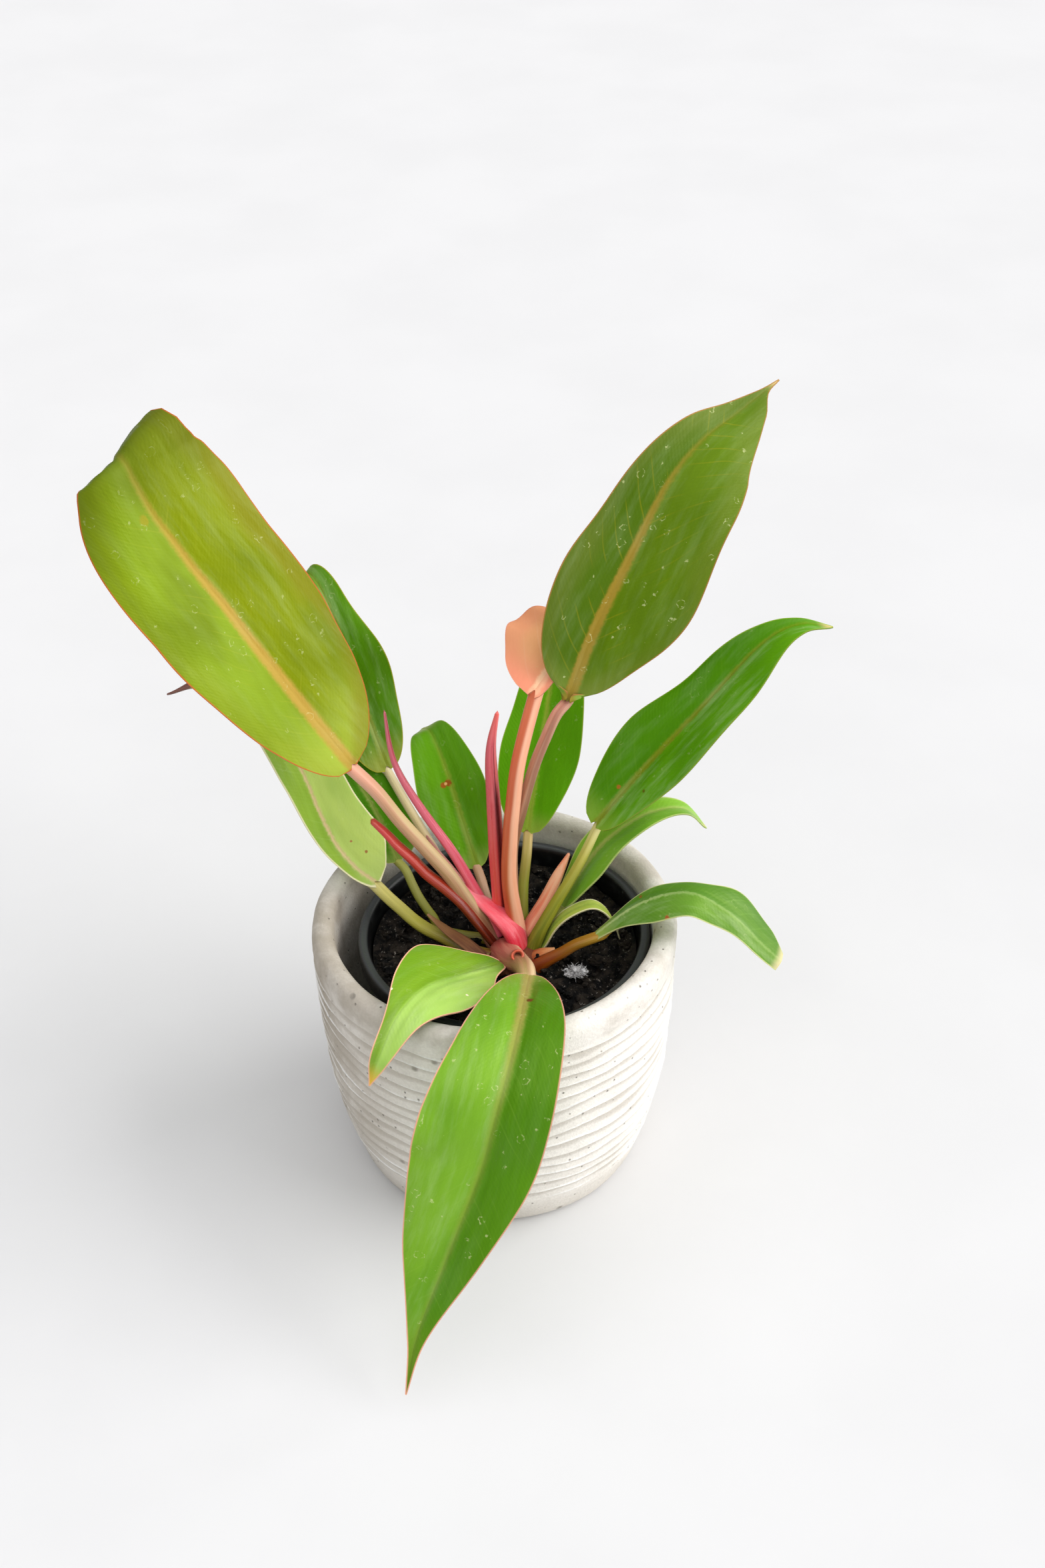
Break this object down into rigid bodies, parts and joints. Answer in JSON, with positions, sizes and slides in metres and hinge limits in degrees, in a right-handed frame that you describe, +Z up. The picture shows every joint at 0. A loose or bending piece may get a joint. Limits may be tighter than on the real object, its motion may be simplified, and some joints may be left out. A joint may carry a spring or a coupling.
{
  "type": "potted prince of orange philodendron",
  "caption": "Potted philodendron with green, yellow-green and peach leaves in a nursery pot inside a round ribbed cement pot.",
  "frame": {"origin": "centre of the cement pot's base, on the surface it stands on", "axes": "+Z up, +X to the right and +Y away from the viewer as pictured; the large hanging leaf points to the front, -Y"},
  "size_m": [0.2834, 0.2535, 0.3261],
  "materials": {
    "cement": "matt cast cement with fine pits and faint stains",
    "black_plastic": "thin moulded plastic, satin, scuffed",
    "crown_tissue": "fleshy brown stem base with old sheath scars",
    "potting_soil": "damp dark potting mix with bark",
    "pale_fibre": "loose pale fluff",
    "stalk_salmon": "smooth waxy salmon stalk with fine streaks",
    "stalk_brown": "smooth waxy brownish stalk",
    "stalk_olive": "smooth waxy olive stalk",
    "stalk_cream": "smooth waxy cream stalk",
    "sheath_crimson": "glossy crimson rolled leaf",
    "sheath_pink": "soft pink sheath",
    "sheath_dry": "dry papery brown remnant",
    "leaf_olive": "satin yellow-green blade, orange midrib, red edge",
    "leaf_dark": "satin dark green blade, tan midrib",
    "leaf_peach": "new peach blade",
    "leaf_green": "glossy deep green blade",
    "leaf_fresh": "glossy fresh green blade with a cream edge",
    "leaf_pale": "satin pale green blade, cream midrib"
  },
  "bodies": {
    "root": {"cement_pot": "cement", "nursery_pot": "black_plastic", "crown": "crown_tissue", "soil": "potting_soil", "fibre_tuft": "pale_fibre", "upper_left_stalk": "stalk_salmon", "upper_right_stalk": "stalk_brown", "peach_stalk": "stalk_salmon", "right_middle_stalk": "stalk_olive", "right_lower_stalk": "stalk_olive", "right_low_stalk": "stalk_olive", "left_back_stalk": "stalk_cream", "left_stalk": "stalk_olive", "left_inner_stalk": "stalk_olive", "centre_back_stalk": "stalk_brown", "back_stalk": "stalk_olive", "front_stalk": "stalk_brown", "front_left_stalk": "stalk_olive", "crimson_spear": "sheath_crimson", "maroon_spear": "sheath_crimson", "red_spear": "sheath_crimson", "pink_sheath": "sheath_pink", "salmon_sheath": "sheath_pink", "crimson_sheath": "sheath_crimson", "dry_sheath_left": "sheath_dry", "dry_sheath_right": "sheath_dry", "upper_left_blade": "leaf_olive", "upper_right_blade": "leaf_dark", "peach_blade": "leaf_peach", "right_middle_blade": "leaf_green", "right_lower_blade": "leaf_fresh", "right_low_blade": "leaf_fresh", "left_back_blade": "leaf_green", "left_blade": "leaf_pale", "left_inner_blade": "leaf_green", "centre_back_blade": "leaf_green", "back_blade": "leaf_green", "front_blade": "leaf_fresh", "front_left_blade": "leaf_fresh", "strap_leaf": "leaf_pale"}
  },
  "joints": []
}
